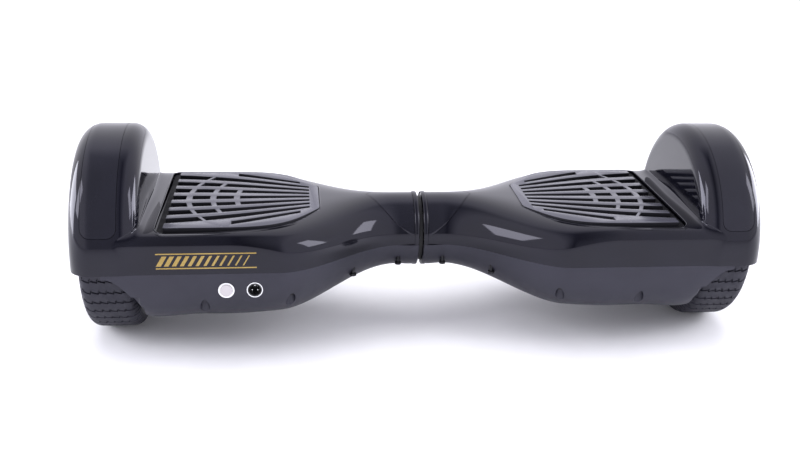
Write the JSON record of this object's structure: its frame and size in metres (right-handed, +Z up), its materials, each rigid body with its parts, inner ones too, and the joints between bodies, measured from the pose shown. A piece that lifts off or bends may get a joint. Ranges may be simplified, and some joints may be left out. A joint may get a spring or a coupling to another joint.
{
  "type": "self balancing hoverboard",
  "caption": "Two-wheeled self balancing board whose halves twist about a central pivot, with a ribbed foot pad on each half and a hub motor wheel at each end.",
  "frame": {"origin": "on the floor, midway between the wheels, at the centre of the board's footprint", "axes": "X along the board, with the half that holds the battery at +X; -Y is the front, with the power button and charging socket; Z up"},
  "size_m": [0.584, 0.186, 0.178],
  "materials": {
    "shell_gloss": "high gloss moulded",
    "shell_satin": "satin moulded",
    "trim_gloss": "high gloss inlay",
    "pad_rubber": "satin ribbed rubber",
    "plate_plastic": "plain moulded",
    "screw_steel": "zinc plated",
    "frame_aluminium": "cast",
    "axle_steel": "ground",
    "core_steel": "laminated",
    "winding_copper": "enamelled copper",
    "rotor_steel": "turned",
    "magnet_nickel": "nickel plated",
    "cover_aluminium": "cast and turned",
    "bearing_steel": "ground",
    "tyre_rubber": "moulded tread",
    "circuit_board": "solder mask",
    "cable_black": "sleeved",
    "bush_bronze": "sintered bronze",
    "seal_rubber": "soft",
    "battery_wrap": "heat-shrink wrap",
    "button_white": "translucent cap",
    "bezel_dark": "gloss ring",
    "socket_metal": "plated ring",
    "pin_metal": "plated pins"
  },
  "bodies": {
    "left_half": {"left_upper_shell": "shell_gloss", "left_lower_shell": "shell_satin", "left_fender_strip": "trim_gloss", "left_neck_panel": "trim_gloss", "left_shell_screws": "screw_steel", "left_frame": "frame_aluminium", "left_axle_clamp": "frame_aluminium", "left_clamp_screws": "screw_steel", "left_axle": "axle_steel", "left_stator_core": "core_steel", "left_stator_windings": "winding_copper", "left_gyro_board": "circuit_board", "left_motor_lead": "cable_black", "pivot_tube": "axle_steel", "pivot_retaining_ring": "screw_steel", "pivot_stop_screw": "screw_steel", "neck_seal": "seal_rubber", "centre_harness": "cable_black", "left_main_board": "circuit_board", "left_button_bezel": "bezel_dark", "left_charge_socket": "socket_metal", "left_charge_pins": "pin_metal"},
    "right_half": {"right_upper_shell": "shell_gloss", "right_lower_shell": "shell_satin", "right_fender_strip": "trim_gloss", "right_neck_panel": "trim_gloss", "right_shell_screws": "screw_steel", "right_frame": "frame_aluminium", "right_axle_clamp": "frame_aluminium", "right_clamp_screws": "screw_steel", "right_axle": "axle_steel", "right_stator_core": "core_steel", "right_stator_windings": "winding_copper", "right_gyro_board": "circuit_board", "right_motor_lead": "cable_black", "pivot_bushes": "bush_bronze", "right_battery_pack": "battery_wrap"},
    "left_wheel": {"left_rotor_ring": "rotor_steel", "left_rotor_magnets": "magnet_nickel", "left_inner_motor_cover": "cover_aluminium", "left_outer_motor_cover": "cover_aluminium", "left_cover_screws": "screw_steel", "left_wheel_bearings": "bearing_steel", "left_tyre": "tyre_rubber"},
    "right_wheel": {"right_rotor_ring": "rotor_steel", "right_rotor_magnets": "magnet_nickel", "right_inner_motor_cover": "cover_aluminium", "right_outer_motor_cover": "cover_aluminium", "right_cover_screws": "screw_steel", "right_wheel_bearings": "bearing_steel", "right_tyre": "tyre_rubber"},
    "left_pad": {"left_foot_pad": "pad_rubber", "left_pad_plate": "plate_plastic"},
    "right_pad": {"right_foot_pad": "pad_rubber", "right_pad_plate": "plate_plastic"},
    "power_button": {"left_power_button": "button_white"}
  },
  "joints": [
    {"name": "center_pivot", "type": "hinge", "parent": "left_half", "child": "right_half", "pos_m": [0, 0, 0.083], "axis": [1, 0, 0], "range_deg": [-12, 12]},
    {"name": "left_wheel_spin", "type": "hinge", "parent": "left_half", "child": "left_wheel", "pos_m": [-0.264, 0, 0.085], "axis": [1, 0, 0], "continuous": true},
    {"name": "right_wheel_spin", "type": "hinge", "parent": "right_half", "child": "right_wheel", "pos_m": [0.264, 0, 0.085], "axis": [1, 0, 0], "continuous": true},
    {"name": "left_pad_press", "type": "slide", "parent": "left_half", "child": "left_pad", "axis": [0, 0, -1], "range_m": [0, 0.0015], "stiffness_N_per_m": 20000, "springref_m": -0.0002},
    {"name": "right_pad_press", "type": "slide", "parent": "right_half", "child": "right_pad", "axis": [0, 0, -1], "range_m": [0, 0.0015], "stiffness_N_per_m": 20000, "springref_m": -0.0002},
    {"name": "power_button_press", "type": "slide", "parent": "left_half", "child": "power_button", "axis": [0, 1, 0], "range_m": [0, 0.0012], "stiffness_N_per_m": 2000, "springref_m": -0.0005}
  ]
}
